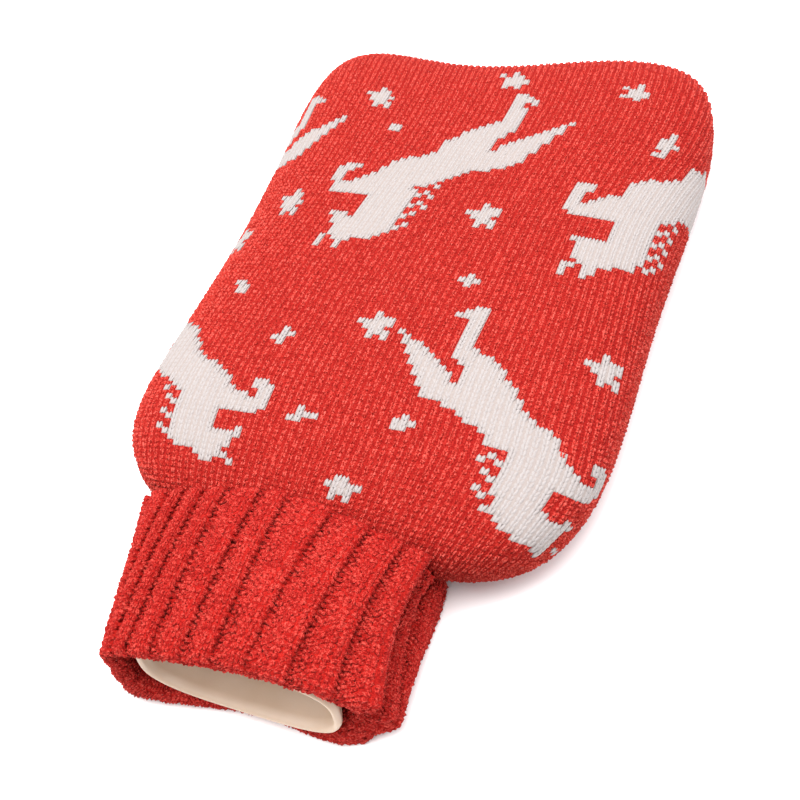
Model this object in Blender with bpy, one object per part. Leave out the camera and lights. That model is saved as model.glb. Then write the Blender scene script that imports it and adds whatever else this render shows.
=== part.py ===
"""Knitted cover with a turned-down polo neck, drawn over a rubber hot water bottle.

The bottle lies on its back and its mouth faces -Y. Tables and sizes are in millimetres, measured
from the middle of the bottle's body at the height of the surface it lies on. Meshes are built in
metres, +Z up, and the origin is under the middle of the whole thing.
"""

import math

import bmesh
import bpy
import numpy as np

MM = 0.001
BODY_MIDDLE_X = -1.03       # where the body's middle lies from the origin
BODY_MIDDLE_Y = 33.39

# The covered body: a flat pillow with round corners, a little wider at the far end
HALF_WIDTH = 105.0
HALF_LENGTH = 146.4
HALF_THICKNESS = 21.5
TAPER = 0.031               # share by which the far end is wider and the near end narrower
OUTLINE_POWER = 4.7         # superellipse that rounds the corners seen from above
REACH_POWER = 4.53          # how far the crown stays level before it turns down
CROWN_POWER = 2.61          # how full the sides are
SQUARE_CROWN = 0.88         # share of the way to the seam at which squares have turned into the outline
UNDERSIDE_SQUASH = 1.06     # the underside is pressed flat on the surface
MIDDLE_SHIFT = (-1.7, 1.8)  # the cloth's middle against the neck's
# The far edge sinks in between its two corners, and both sides draw in at a waist.
# Places and lengths are shares of the half width or half length.
#                  depth  place  length
FAR_EDGE_DIP =    (16.0, -0.19,  0.51)
LEFT_WAIST =      (11.4, -0.03,  0.72)
RIGHT_WAIST =      (3.4, -0.12,  0.47)
FAR_EDGE_SAG = 0.084        # share of its height that the far edge loses there

# The cloth
PANEL_THICKNESS = 4.0
SEAM_HEIGHT = 10.0          # the panels meet under the widest line of the body
SEAM_GAP = 0.9
COLUMNS, ROWS = 20, 26      # grid of one panel
RIM_CROWDING = 1.5          # grid lines stand closer where the cloth turns down

# The ribbed polo neck: turned back on itself at the mouth, so that it lies double
RIB_PITCH = 11.0
RIB_HEIGHT = 1.6
RIB_PROFILE = ((0.00, 0.0), (0.14, 1.0), (0.56, 1.0), (0.70, 0.0))      # share of the pitch, height
FOLD_RADIUS = 3.6
INNER_FOLD = 1.0            # how far behind the fold's start its inner faces part
SLEEVE_GAP = 1.0            # between the neck's inner layer and the edge of the panels' neckline
NECK_POWER = 3.2            # squareness of the neck's inner faces
NECK_MIDDLE_Z = 22.0
NECKLINE_SIDES = 72
NECKLINE_REACH = (-166.0, -114.0)       # the opening is cut through the panels between these y

# Outer face of the turned-down layer, going round it from the top middle by the right side.
# edge: its free edge on the shoulders; mid: half way; mouth: the fold round the mouth
#    place                edge x      y     z   mid x     z  mouth x      y     z
OUTER_LAYER = (
    ("top middle",          -12, -134.8, 40.0,   -8.0, 45.0,   -5.0, -204.5, 45.0),
    ("top right",            29, -140.3, 38.0,   25.0, 44.0,   22.0, -203.0, 44.0),
    ("upper pleat",          46, -142.5, 34.0,   42.0, 35.5,   41.0, -204.0, 34.5),
    ("crease under it",      40, -145.0, 28.5,   36.0, 29.0,   41.3, -199.5, 28.0),
    ("lower pleat",          51, -145.5, 23.0,   41.5, 23.0,   47.0, -201.5, 20.5),
    ("crease under that",    43, -145.5, 16.5,   37.5, 16.5,   44.0, -198.5, 15.0),
    ("bulge at the floor",   50, -142.5,  8.0,   48.0,  8.5,   50.5, -198.5,  8.0),
    ("floor right",          42, -140.0,  0.0,   42.0,  0.0,   32.5, -207.5,  0.0),
    ("floor middle",         -8, -132.0,  0.0,   -6.0,  0.0,   -3.0, -204.5,  0.0),
    ("floor left",          -55, -138.0,  0.0,  -49.0,  0.0,  -49.0, -211.0,  0.0),
    ("left side",           -72, -142.5, 20.0,  -61.5, 20.0,  -58.5, -207.5, 14.0),
    ("top left",            -61, -143.5, 38.0,  -49.0, 42.0,  -44.0, -209.0, 39.5),
)
# The neck's other faces, each a squared ring at the panels' end, half way and at the mouth
#    face                         left  right bottom  top
NECK_FACES = {
    "turned layer, inside": (
        (-68.0, 36.5,  3.4, 36.6),
        (-58.0, 33.5,  3.4, 40.8),
        (-53.4, 39.4,  3.4, 41.7),
    ),
    "inner layer, outside": (
        (-57.0, 33.0,  8.2, 33.2),
        (-55.5, 32.2,  5.6, 38.4),
        (-53.0, 38.9,  3.8, 41.3),
    ),
    "inner layer, inside": (
        (-54.0, 30.0, 11.2, 30.2),
        (-52.5, 29.8,  8.6, 35.4),
        (-50.2, 36.4,  6.8, 39.0),
    ),
}
SLEEVE_END_Y = -140.5       # where the inner layer ends, at its sides
SLEEVE_END_RISE = 5.0       # and how much further in at its top and underside

# The rubber bottle inside: a plain body, a flat neck and a flared funnel to pour into
BOTTLE_CLEARANCE = 0.7
RIM_LEAN = 0.18             # the rim's lower side stands further out than its upper side
#    place                 y   middle x  middle z  half width  half height  squareness
BOTTLE_NECK = (
    ("in the body",     -118.0,  -3.0,    20.8,      24.0,        8.4,      2.2),
    ("neck",            -150.0,  -3.0,    20.8,      19.0,        8.4,      2.2),
    ("funnel's foot",   -167.0,  -3.0,    21.8,      20.0,        9.6,      2.3),
    ("flare",           -184.0,  -3.8,    22.6,      29.5,       12.0,      2.7),
    ("under the rim",   -197.0,  -4.5,    22.9,      38.2,       14.7,      3.1),
    ("rim outside",     -202.4,  -4.6,    22.8,      40.0,       15.1,      3.2),
    ("rim front",       -203.8,  -4.6,    22.8,      38.9,       14.1,      3.2),
    ("rim inside",      -202.6,  -4.6,    22.8,      37.6,       13.0,      3.2),
    ("inner wall",      -196.0,  -4.5,    22.9,      35.6,       12.4,      3.1),
    ("inner flare",     -184.0,  -3.8,    22.6,      27.0,        9.6,      2.7),
    ("funnel's floor",  -171.0,  -3.0,    22.0,      14.0,        7.4,      2.2),
    ("bore's mouth",    -169.0,  -3.0,    21.8,       6.3,        6.3,      2.0),
    ("bore's end",      -150.0,  -3.0,    20.8,       6.3,        6.3,      2.0),
)
NECK_SIDES = 40

# Colours, as sRGB
RED_YARN = (0.87, 0.23, 0.19)
RUBBER = (0.79, 0.68, 0.58)


def clear_scene():
    """Remove what the file holds at the start."""
    for thing in list(bpy.data.objects):
        bpy.data.objects.remove(thing, do_unlink=True)


def linear(srgb):
    """sRGB share of one channel to linear light."""
    return srgb / 12.92 if srgb <= 0.04045 else ((srgb + 0.055) / 1.055) ** 2.4


def material(name, colour, roughness):
    made = bpy.data.materials.new(name)
    made.use_nodes = True
    surface = made.node_tree.nodes["Principled BSDF"]
    surface.inputs["Base Color"].default_value = [linear(c) for c in colour] + [1.0]
    surface.inputs["Roughness"].default_value = roughness
    surface.inputs["Metallic"].default_value = 0.0
    return made


def placed(points):
    """Millimetres from the body's middle to metres from the origin."""
    return (np.asarray(points, float) + (BODY_MIDDLE_X, BODY_MIDDLE_Y, 0.0)) * MM


def new_object(name, bm, finish):
    """Put a bmesh into the scene as one object with its own material, faces outwards."""
    bmesh.ops.recalc_face_normals(bm, faces=bm.faces)
    mesh = bpy.data.meshes.new(name)
    bm.to_mesh(mesh)
    bm.free()
    mesh.shade_smooth()
    mesh.set_sharp_from_angle(angle=math.radians(50))
    mesh.materials.append(finish)
    made = bpy.data.objects.new(name, mesh)
    bpy.context.scene.collection.objects.link(made)
    return made


def section(half_span):
    """The pillow's section from the middle of its top to the middle of its underside.

    Gives the arc length, the reach (1 at the widest line) and the height above the surface:
    reach = cos(turn)^(2/REACH_POWER), height above the widest line = sin(turn)^(2/CROWN_POWER).
    """
    turn = np.linspace(math.pi / 2, -math.pi / 2, 1441)
    reach = np.abs(np.cos(turn)) ** (2 / REACH_POWER)
    rise = np.sign(np.sin(turn)) * np.abs(np.sin(turn)) ** (2 / CROWN_POWER)
    rise = np.where(rise < 0, rise * UNDERSIDE_SQUASH, rise)
    height = np.maximum(HALF_THICKNESS * (1 + rise), 0)
    steps = np.hypot(np.diff(reach) * half_span, np.diff(height))
    return np.concatenate([[0], np.cumsum(steps)]), reach, height


SECTION_ACROSS = section(HALF_WIDTH)
SECTION_ALONG = section(HALF_LENGTH)


def seam_arc(table):
    """Arc length from the middle of the top to the seam under the widest line."""
    arc, reach, height = table
    under = np.arange(len(arc)) > len(arc) // 2
    return float(np.interp(-SEAM_HEIGHT, -height[under], arc[under]))


def on_section(table, share, top):
    """Reach and height at a share of the way from the middle of the top, or underside, to the seam."""
    arc, reach, height = table
    seam = seam_arc(table)
    at = share * seam if top else arc[-1] - share * (arc[-1] - seam)
    return np.interp(at, arc, reach), np.interp(at, arc, height)


def swell(row, at):
    """A soft bump of this depth round its place: depth * exp(-((at - place) / length)^2)."""
    depth, place, length = row
    return depth * np.exp(-(((at - place) / length) ** 2))


def cloth_point(u, v, top):
    """The cover's outer face at (u, v), which run from -1 to 1 between the seams of one panel.

    u counts the stitch columns across and v the rows along. Squares round the middle turn into
    superellipses towards the rim, so that columns stay straight on the crown and wrap the corners.
    """
    u = np.where(np.maximum(np.abs(u), np.abs(v)) < 1e-6, 1e-6, u)
    share = np.maximum(np.abs(u), np.abs(v))
    across, along = u / share, v / share
    weight = across**4 / (across**4 + along**4)
    reach_u, height_u = on_section(SECTION_ACROSS, share, top)
    reach_v, height_v = on_section(SECTION_ALONG, share, top)
    reach = weight * reach_u + (1 - weight) * reach_v
    height = weight * height_u + (1 - weight) * height_v
    power = OUTLINE_POWER / np.clip(share / SQUARE_CROWN, 0.2, 1) ** 3
    spread = (np.abs(across) ** power + np.abs(along) ** power) ** (1 / power)
    p, q = reach * across / spread, reach * along / spread
    left = swell(LEFT_WAIST, q) * np.maximum(-p, 0) ** 3
    right = swell(RIGHT_WAIST, q) * np.maximum(p, 0) ** 3
    dip = swell(FAR_EDGE_DIP, p)
    sag = FAR_EDGE_SAG * dip / FAR_EDGE_DIP[0] * np.maximum(q, 0) ** 4
    x = HALF_WIDTH * p * (1 + TAPER * q) + left - right + MIDDLE_SHIFT[0]
    y = HALF_LENGTH * q - dip * np.maximum(q, 0) ** 6 + MIDDLE_SHIFT[1]
    return np.stack([x, y, height * (1 - sag)], -1)


def cloth_normal(u, v, top):
    """Outward unit normal of the cover's outer face, from small steps along u and v."""
    step = 1e-3
    along_u = cloth_point(u + step, v, top) - cloth_point(u - step, v, top)
    along_v = cloth_point(u, v + step, top) - cloth_point(u, v - step, top)
    normal = np.cross(along_u, along_v) * (1 if top else -1)
    return normal / np.linalg.norm(normal, axis=-1, keepdims=True)


def grid_lines(count):
    """count + 1 values from -1 to 1, closer together towards both ends."""
    t = np.linspace(-1, 1, count + 1)
    return np.sign(t) * (1 - (1 - np.abs(t)) ** RIM_CROWDING)


def cap(top, inset, reach=1.0):
    """Grid of points on one panel, inset from its outer face; reach under 1 stops short of the seam."""
    u, v = np.meshgrid(grid_lines(COLUMNS) * reach, grid_lines(ROWS) * reach, indexing="ij")
    return cloth_point(u, v, top) - inset * cloth_normal(u, v, top)


def add_grid(bm, verts):
    """Triangles over a rectangle of vertices, split so that the diagonals run out to its corners."""
    for i, (a, b) in enumerate(zip(verts[:-1], verts[1:])):
        for j in range(len(a) - 1):
            if (i < COLUMNS / 2) == (j < ROWS / 2):
                bm.faces.new((a[j], a[j + 1], b[j + 1]))
                bm.faces.new((a[j], b[j + 1], b[j]))
            else:
                bm.faces.new((a[j], a[j + 1], b[j]))
                bm.faces.new((a[j + 1], b[j + 1], b[j]))


def edge_of(verts):
    """The vertices round a rectangle's edge, in order."""
    side = [row[-1] for row in verts]
    other = [row[0] for row in verts]
    return verts[0][:-1] + side[:-1] + verts[-1][:0:-1] + other[:0:-1]


def panel(name, top, finish):
    """One knitted panel: its outer face, its inner face and the edge that joins them."""
    bm = bmesh.new()
    reach = 1 - SEAM_GAP / 2 / seam_arc(SECTION_ACROSS)
    faces = []
    for inset in (0.0, PANEL_THICKNESS):
        points = placed(cap(top, inset, reach))
        faces.append([[bm.verts.new(p) for p in row] for row in points])
        add_grid(bm, faces[-1])
    outer, inner = edge_of(faces[0]), edge_of(faces[1])
    for i in range(len(outer)):
        bm.faces.new((outer[i - 1], outer[i], inner[i], inner[i - 1]))
    return new_object(name, bm, finish)


def squared_ring(angle, middle_x, middle_z, half_width, half_height, power):
    """Points (x, z) of a superellipse at these angles about its middle, 0 towards +X."""
    c, s = np.cos(angle), np.sin(angle)
    reach = (np.abs(c / half_width) ** power + np.abs(s / half_height) ** power) ** (-1 / power)
    return middle_x + reach * c, middle_z + reach * s


def box_ring(angle, extents, power):
    """The same ring between left, right, bottom and top, with the angles about its own middle."""
    left, right, bottom, top = extents
    middle = ((left + right) / 2, (bottom + top) / 2)
    return squared_ring(angle, *middle, (right - left) / 2, (top - bottom) / 2, power)


def skin(bm, rings, closed):
    """Quads between rings of vertices, each ring closed; closed also joins the last ring to the first."""
    pairs = list(zip(rings[:-1], rings[1:]))
    if closed:
        pairs.append((rings[-1], rings[0]))
    for a, b in pairs:
        for i in range(len(a)):
            bm.faces.new((a[i - 1], a[i], b[i], b[i - 1]))


def cut(target, bm, name):
    """Subtract a closed bmesh from an object and drop the cutter."""
    cutter = new_object(name, bm, target.data.materials[0])
    change = target.modifiers.new("cut", "BOOLEAN")
    change.operation = "DIFFERENCE"
    change.solver = "EXACT"
    change.object = cutter
    bake(target)
    bpy.data.objects.remove(cutter, do_unlink=True)


def bake(target):
    """Apply an object's modifiers to its mesh."""
    graph = bpy.context.evaluated_depsgraph_get()
    made = bpy.data.meshes.new_from_object(target.evaluated_get(graph))
    target.modifiers.clear()
    target.data = made


def neckline_cutter():
    """A prism along Y that opens the panels where the polo neck's inner layer enters them."""
    angle = np.linspace(0, 2 * math.pi, NECKLINE_SIDES, endpoint=False)
    left, right, bottom, top = NECK_FACES["inner layer, outside"][0]
    room = (left - SLEEVE_GAP, right + SLEEVE_GAP, bottom - SLEEVE_GAP, top + SLEEVE_GAP)
    x, z = box_ring(angle, room, NECK_POWER)
    bm = bmesh.new()
    rings = []
    for y in NECKLINE_REACH:
        points = placed(np.stack([x, np.full_like(x, y), z], -1))
        rings.append([bm.verts.new(p) for p in points])
    skin(bm, rings, closed=False)
    for ring in rings:
        bm.faces.new(ring)
    return bm


def through(values, turn):
    """Closed smooth curve through the values, one unit of turn apart (Catmull-Rom)."""
    values = np.asarray(values, float)
    count = len(values)
    i = np.floor(turn).astype(int)
    t = turn - i
    a, b, c, d = (values[(i + k) % count] for k in (-1, 0, 1, 2))
    return 0.5 * (2 * b + (c - a) * t + (2 * a - 5 * b + 4 * c - d) * t**2 + (3 * b - a - 3 * c + d) * t**3)


def neck_turns():
    """Places round the neck where a rib rises or falls, and the rib's height share at each."""
    fine = np.linspace(0, len(OUTER_LAYER), 2400)
    x, z = (through([row[k] for row in OUTER_LAYER], fine) for k in (4, 5))
    arc = np.concatenate([[0], np.cumsum(np.hypot(np.diff(x), np.diff(z)))])
    ribs = round(arc[-1] / RIB_PITCH)
    pitch = arc[-1] / ribs
    places = [(rib + share) * pitch for rib in range(ribs) for share, height in RIB_PROFILE]
    heights = [height for rib in range(ribs) for share, height in RIB_PROFILE]
    return np.interp(places, arc, fine), np.array(heights)


def along(edge, mid, mouth, v):
    """Value at v on the even curve through the free edge (0), half way (0.5) and the mouth (1)."""
    return edge * (1 - v) * (1 - 2 * v) + mid * 4 * v * (1 - v) + mouth * v * (2 * v - 1)


def outer_ring(turn, ribs, v):
    """The turned-down layer's outer face at v, 0 at its free edge and 1 at the mouth, ribs raised."""
    column = {k: through([row[k] for row in OUTER_LAYER], turn) for k in range(1, 9)}
    edge = np.stack([column[1], column[2], column[3]], -1)
    mouth = np.stack([column[6], column[7] + FOLD_RADIUS, column[8]], -1)
    mid = np.stack([column[4], (edge[:, 1] + mouth[:, 1]) / 2, column[5]], -1)
    ring = along(edge, mid, mouth, v)
    tangent = np.roll(ring, -2, 0) - np.roll(ring, 2, 0)
    outward = np.stack([-tangent[:, 2], np.zeros(len(ring)), tangent[:, 0]], -1)
    outward /= np.linalg.norm(outward, axis=1, keepdims=True)
    ring = ring + outward * (ribs * RIB_HEIGHT)[:, None]
    ring[:, 2] = np.maximum(ring[:, 2], 0)
    return ring


def inner_ring(face, plain, v, y):
    """One of the neck's other faces at v, its points beside those of the plain outer ring."""
    extents = along(*(np.array(e) for e in NECK_FACES[face]), v)
    fine = np.linspace(-math.pi, math.pi, 1440, endpoint=False)
    x, z = box_ring(fine, extents, NECK_POWER)
    apart = np.hypot(plain[:, :1] - x, plain[:, 2:] - z)
    nearest = np.unwrap(fine[apart.argmin(axis=1)])
    middle_x, middle_z = (extents[0] + extents[1]) / 2, (extents[2] + extents[3]) / 2
    bearing = np.unwrap(np.arctan2(plain[:, 2] - middle_z, plain[:, 0] - middle_x))
    x, z = box_ring(0.75 * nearest + 0.25 * bearing, extents, NECK_POWER)
    return np.stack([x, y + 0 * x, z], -1)


def neck_section():
    """Rings of the folded rib cloth: down the outer face, round the fold, up the inner layer and back."""
    turn, ribs = neck_turns()
    rings = [outer_ring(turn, ribs, v) for v in np.linspace(0, 1, 6)]
    plain = {v: outer_ring(turn, 0 * ribs, v) for v in (0, 0.25, 0.5, 0.75, 1)}
    mouth = plain[1]
    inside = inner_ring("inner layer, inside", mouth, 1, mouth[:, 1])
    outside = rings[-1]
    for step in (0.25, 0.5, 0.75):
        share = (1 - math.cos(math.pi * step)) / 2
        ring = outside * (1 - share) + inside * share
        ring[:, 1] -= FOLD_RADIUS * math.sin(math.pi * step)
        rings.append(ring)
    bearing = np.arctan2(mouth[:, 2] - NECK_MIDDLE_Z, mouth[:, 0])
    sleeve_end = SLEEVE_END_Y + SLEEVE_END_RISE * np.abs(np.sin(bearing)) ** 1.5
    for face, steps in (("inner layer, inside", (1, 0.5, 0)), ("inner layer, outside", (0, 0.5, 0.75, 1))):
        for v in steps:
            y = sleeve_end * (1 - v) + mouth[:, 1] * v
            if face == "inner layer, outside" and v == 1:
                y = y + INNER_FOLD
            rings.append(inner_ring(face, plain[v], v, y))
    for v in (1, 0.75, 0.5, 0.25, 0):
        y = plain[v][:, 1] + (INNER_FOLD if v == 1 else 0)
        rings.append(inner_ring("turned layer, inside", plain[v], v, y))
    return rings


def polo_neck(finish):
    """The ribbed neck as one folded tube of cloth."""
    bm = bmesh.new()
    rings = [[bm.verts.new(p) for p in placed(ring)] for ring in neck_section()]
    skin(bm, rings, closed=True)
    return new_object("polo_neck", bm, finish)


def bottle_neck():
    """The neck and funnel: outside from the body to the rim, then inside down to the end of the bore."""
    angle = np.linspace(0, 2 * math.pi, NECK_SIDES, endpoint=False)
    bm = bmesh.new()
    rings = []
    for place, y, middle_x, middle_z, half_width, half_height, power in BOTTLE_NECK:
        x, z = squared_ring(angle, middle_x, middle_z, half_width, half_height, power)
        lean = RIM_LEAN * (z - middle_z) * np.clip((-y - 170) / 30, 0, 1)
        rings.append([bm.verts.new(p) for p in placed(np.stack([x, y + lean, z], -1))])
    skin(bm, rings, closed=False)
    bm.faces.new(rings[0])
    bm.faces.new(rings[-1])
    return bm


def bottle(finish):
    """The rubber bottle: a pillow inside the cloth, joined with its neck and funnel."""
    inset = PANEL_THICKNESS + BOTTLE_CLEARANCE
    bm = bmesh.new()
    upper, lower = cap(True, inset), cap(False, inset)
    top = [[bm.verts.new(p) for p in row] for row in placed(upper)]
    under = [[bm.verts.new(p) for p in row] for row in placed(lower)]
    add_grid(bm, top)
    add_grid(bm, under)
    for a, b in zip(edge_of(top), edge_of(under)):
        b.co = a.co
    bmesh.ops.remove_doubles(bm, verts=edge_of(top) + edge_of(under), dist=1e-6)
    made = new_object("bottle", bm, finish)
    neck = new_object("neck", bottle_neck(), finish)
    joined = made.modifiers.new("join", "BOOLEAN")
    joined.operation = "UNION"
    joined.solver = "EXACT"
    joined.object = neck
    bake(made)
    bpy.data.objects.remove(neck, do_unlink=True)
    return made


clear_scene()
yarn = material("chenille_yarn", RED_YARN, 0.9)
rib_yarn = material("rib_yarn", RED_YARN, 0.9)
rubber = material("natural_rubber", RUBBER, 0.5)
for panel_name, is_top in (("front_panel", True), ("back_panel", False)):
    cut(panel(panel_name, is_top, yarn), neckline_cutter(), "neckline")
polo_neck(rib_yarn)
bottle(rubber)
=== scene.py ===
"""Looks of a knitted hot water bottle cover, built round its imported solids.

The bottle lies on its back and its mouth faces -Y. Shapes are worked out in millimetres from the
middle of the bottle's body at the height of the surface it lies on, and placed in metres.
"""

import math

import bpy
import numpy as np
from mathutils import Matrix


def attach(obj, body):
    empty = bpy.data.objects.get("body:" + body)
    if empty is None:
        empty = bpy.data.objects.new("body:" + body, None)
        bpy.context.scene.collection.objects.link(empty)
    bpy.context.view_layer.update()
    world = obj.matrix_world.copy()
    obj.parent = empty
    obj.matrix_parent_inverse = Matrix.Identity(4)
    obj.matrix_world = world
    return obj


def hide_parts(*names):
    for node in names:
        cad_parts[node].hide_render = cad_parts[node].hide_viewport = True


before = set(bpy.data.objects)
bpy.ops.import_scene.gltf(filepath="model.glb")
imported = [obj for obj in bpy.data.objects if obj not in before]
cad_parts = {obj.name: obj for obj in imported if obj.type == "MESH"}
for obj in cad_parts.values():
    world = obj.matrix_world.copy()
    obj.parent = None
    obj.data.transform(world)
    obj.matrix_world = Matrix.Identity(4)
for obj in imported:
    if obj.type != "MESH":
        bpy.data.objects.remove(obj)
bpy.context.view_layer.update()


# The rubber bottle: a flat body inside the cover, a short neck and a wide funnel to pour into.
# Natural rubber, moulded in two halves and vulcanised, so it is one skin of 2 to 3 mm.
# Only the funnel shows. It stands in the polo neck, its lower wall seen through the mouth.

BODY_MIDDLE = (-1.03, 33.39, 0.0)       # mm from the origin
HALF_WIDTH = 105.0
HALF_LENGTH = 146.4
HALF_THICKNESS = 21.5
TAPER = 0.031               # share by which the far end is wider and the near end narrower
OUTLINE_POWER = 4.7         # superellipse that rounds the corners seen from above
REACH_POWER = 4.53          # how far the crown stays level before it turns down
CROWN_POWER = 2.61          # how full the sides are
SQUARE_CROWN = 0.88         # share of the way to the seam where squares have become the outline
LEAST_SQUARE = 0.2          # the middle is no squarer than at this share of that way
SHARE_ROUNDS = 12           # rounds in which a point's share of the way settles
UNDERSIDE_SQUASH = 1.06     # the underside is pressed flat on the surface
MIDDLE_SHIFT = (-1.7, 1.8)  # the cloth's middle against the neck's
# The far edge sinks in between its two corners, and both sides draw in at a waist.
# Places and lengths are shares of the half width or half length.
#                 depth  place  length
FAR_EDGE_DIP =    (16.0, -0.19,  0.51)
LEFT_WAIST =      (11.4, -0.03,  0.72)
RIGHT_WAIST =      (3.4, -0.12,  0.47)
FAR_EDGE_SAG = 0.084        # share of its height that the far edge loses there
SEAM_HEIGHT = 10.0          # the panels meet under the widest line of the body
PANEL_THICKNESS = 4.0
BOTTLE_CLEARANCE = 0.7      # between the cloth and the bottle
SECTION_POINTS = 1441       # along the body's section, from its top to its underside
BODY_LINES = 61             # grid lines each way over the bottle's body


def placed(points):
    """Millimetres from the body's middle to metres from the origin."""
    return (np.asarray(points, float) + BODY_MIDDLE) * 0.001


def make_mesh(name, points, faces):
    """A mesh from an array of points in metres and one array of faces, smooth."""
    mesh = bpy.data.meshes.new(name)
    faces = np.asarray(faces, np.int32)
    mesh.vertices.add(len(points))
    mesh.vertices.foreach_set("co", np.asarray(points, np.float32).ravel())
    mesh.loops.add(faces.size)
    mesh.loops.foreach_set("vertex_index", faces.ravel())
    mesh.polygons.add(len(faces))
    starts = np.arange(0, faces.size, faces.shape[1], dtype=np.int32)
    mesh.polygons.foreach_set("loop_start", starts)
    mesh.update(calc_edges=True)
    mesh.validate()
    mesh.shade_smooth()
    return mesh


def add_piece(name, mesh, finish, slot, *nodes):
    """Put a mesh into the scene as a piece of the object, in the place of these CAD nodes."""
    piece = bpy.data.objects.new(name, mesh)
    bpy.context.scene.collection.objects.link(piece)
    mesh.materials.append(finish)
    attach(piece, "root")
    if nodes:
        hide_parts(*nodes)
    return piece


def linear(hex_colour):
    """An sRGB hex colour such as "c8443a" as linear RGBA."""
    srgb = np.array([int(hex_colour[k:k + 2], 16) for k in (0, 2, 4)]) / 255
    return [*np.where(srgb <= 0.04045, srgb / 12.92, ((srgb + 0.055) / 1.055) ** 2.4), 1.0]


def add_node(tree, kind, links=(), **settings):
    """Add a node. Settings name its properties or, with a leading i and a number, its inputs."""
    node = tree.nodes.new(kind)
    for key, value in settings.items():
        if key[0] == "i" and key[1:].isdigit():
            node.inputs[int(key[1:])].default_value = value
        else:
            setattr(node, key, value)
    for source, target in links:
        tree.links.new(source, node.inputs[target])
    return node


def section(half_span):
    """The body's section from the middle of its top to the middle of its underside.

    Gives arc length, reach = cos(turn)^(2/REACH_POWER) and the height, which is
    HALF_THICKNESS * (1 + sin(turn)^(2/CROWN_POWER)), with the underside pressed flat.
    """
    turn = np.linspace(math.pi / 2, -math.pi / 2, SECTION_POINTS)
    reach = np.abs(np.cos(turn)) ** (2 / REACH_POWER)
    rise = np.sign(np.sin(turn)) * np.abs(np.sin(turn)) ** (2 / CROWN_POWER)
    rise = np.where(rise < 0, rise * UNDERSIDE_SQUASH, rise)
    height = np.maximum(HALF_THICKNESS * (1 + rise), 0)
    steps = np.hypot(np.diff(reach) * half_span, np.diff(height))
    return np.concatenate([[0], np.cumsum(steps)]), reach, height


SECTION_ACROSS = section(HALF_WIDTH)
SECTION_ALONG = section(HALF_LENGTH)


def seam_arc(table, top):
    """Arc length from the middle of the top, or of the underside, to the panels' seam."""
    arc, _, height = table
    under = np.arange(len(arc)) > len(arc) // 2
    seam = float(np.interp(-SEAM_HEIGHT, -height[under], arc[under]))
    return seam if top else float(arc[-1] - seam)


def on_section(table, share, top):
    """Reach and height at a share of the way to the seam, from the middle of the top or underside."""
    arc, reach, height = table
    at = share * seam_arc(table, top)
    at = at if top else arc[-1] - at
    return np.interp(at, arc, reach), np.interp(at, arc, height)


def outline(a, b, power):
    """How far out (a, b) lies, as a superellipse counts: (|a|^power + |b|^power)^(1/power)."""
    return (np.abs(a) ** power + np.abs(b) ** power) ** (1 / power)


def swell(row, at):
    """A soft bump round its place: depth * exp(-((at - place) / length)^2)."""
    depth, place, length = row
    return depth * np.exp(-(((at - place) / length) ** 2))


def cover_point(s, t, top):
    """The cover's outer face at (s, t), millimetres of flat cloth from the middle of one panel.

    With a and b the shares of the way to the seam, their superellipse is the share of the way out,
    and each point keeps its bearing, so that the wales run straight over the crown and down to the
    seam. Gives the points and this share, which is over 1 past the seam.
    """
    a = s / seam_arc(SECTION_ACROSS, top)
    b = t / seam_arc(SECTION_ALONG, top)
    most = np.maximum(np.maximum(np.abs(a), np.abs(b)), 1e-9)
    share = most
    for _ in range(SHARE_ROUNDS):
        power = OUTLINE_POWER / np.clip(share / SQUARE_CROWN, LEAST_SQUARE, 1) ** 3
        spread = outline(a / most, b / most, power)
        share = most * spread
    weight = a**4 / (a**4 + b**4 + 1e-30)
    reach_a, height_a = on_section(SECTION_ACROSS, np.minimum(share, 1.0), top)
    reach_b, height_b = on_section(SECTION_ALONG, np.minimum(share, 1.0), top)
    reach = weight * reach_a + (1 - weight) * reach_b
    height = weight * height_a + (1 - weight) * height_b
    spread = np.maximum(spread, 1e-6)
    p, q = reach * a / most / spread, reach * b / most / spread
    left = swell(LEFT_WAIST, q) * np.maximum(-p, 0) ** 3
    right = swell(RIGHT_WAIST, q) * np.maximum(p, 0) ** 3
    dip = swell(FAR_EDGE_DIP, p)
    sag = FAR_EDGE_SAG * dip / FAR_EDGE_DIP[0] * np.maximum(q, 0) ** 4
    x = HALF_WIDTH * p * (1 + TAPER * q) + left - right + MIDDLE_SHIFT[0]
    y = HALF_LENGTH * q - dip * np.maximum(q, 0) ** 6 + MIDDLE_SHIFT[1]
    return np.stack([x, y, height * (1 - sag)], -1), share


def normals_of(points, around=False):
    """Unit normals of a grid of points: the cross product of the steps along its two directions.

    around is for a grid whose first row follows on its last.
    """
    if around:
        first = np.roll(points, -1, 0) - np.roll(points, 1, 0)
    else:
        first = np.gradient(points, axis=0)
    normal = np.cross(first, np.gradient(points, axis=1))
    return normal / np.maximum(np.linalg.norm(normal, axis=-1, keepdims=True), 1e-9)


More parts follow.
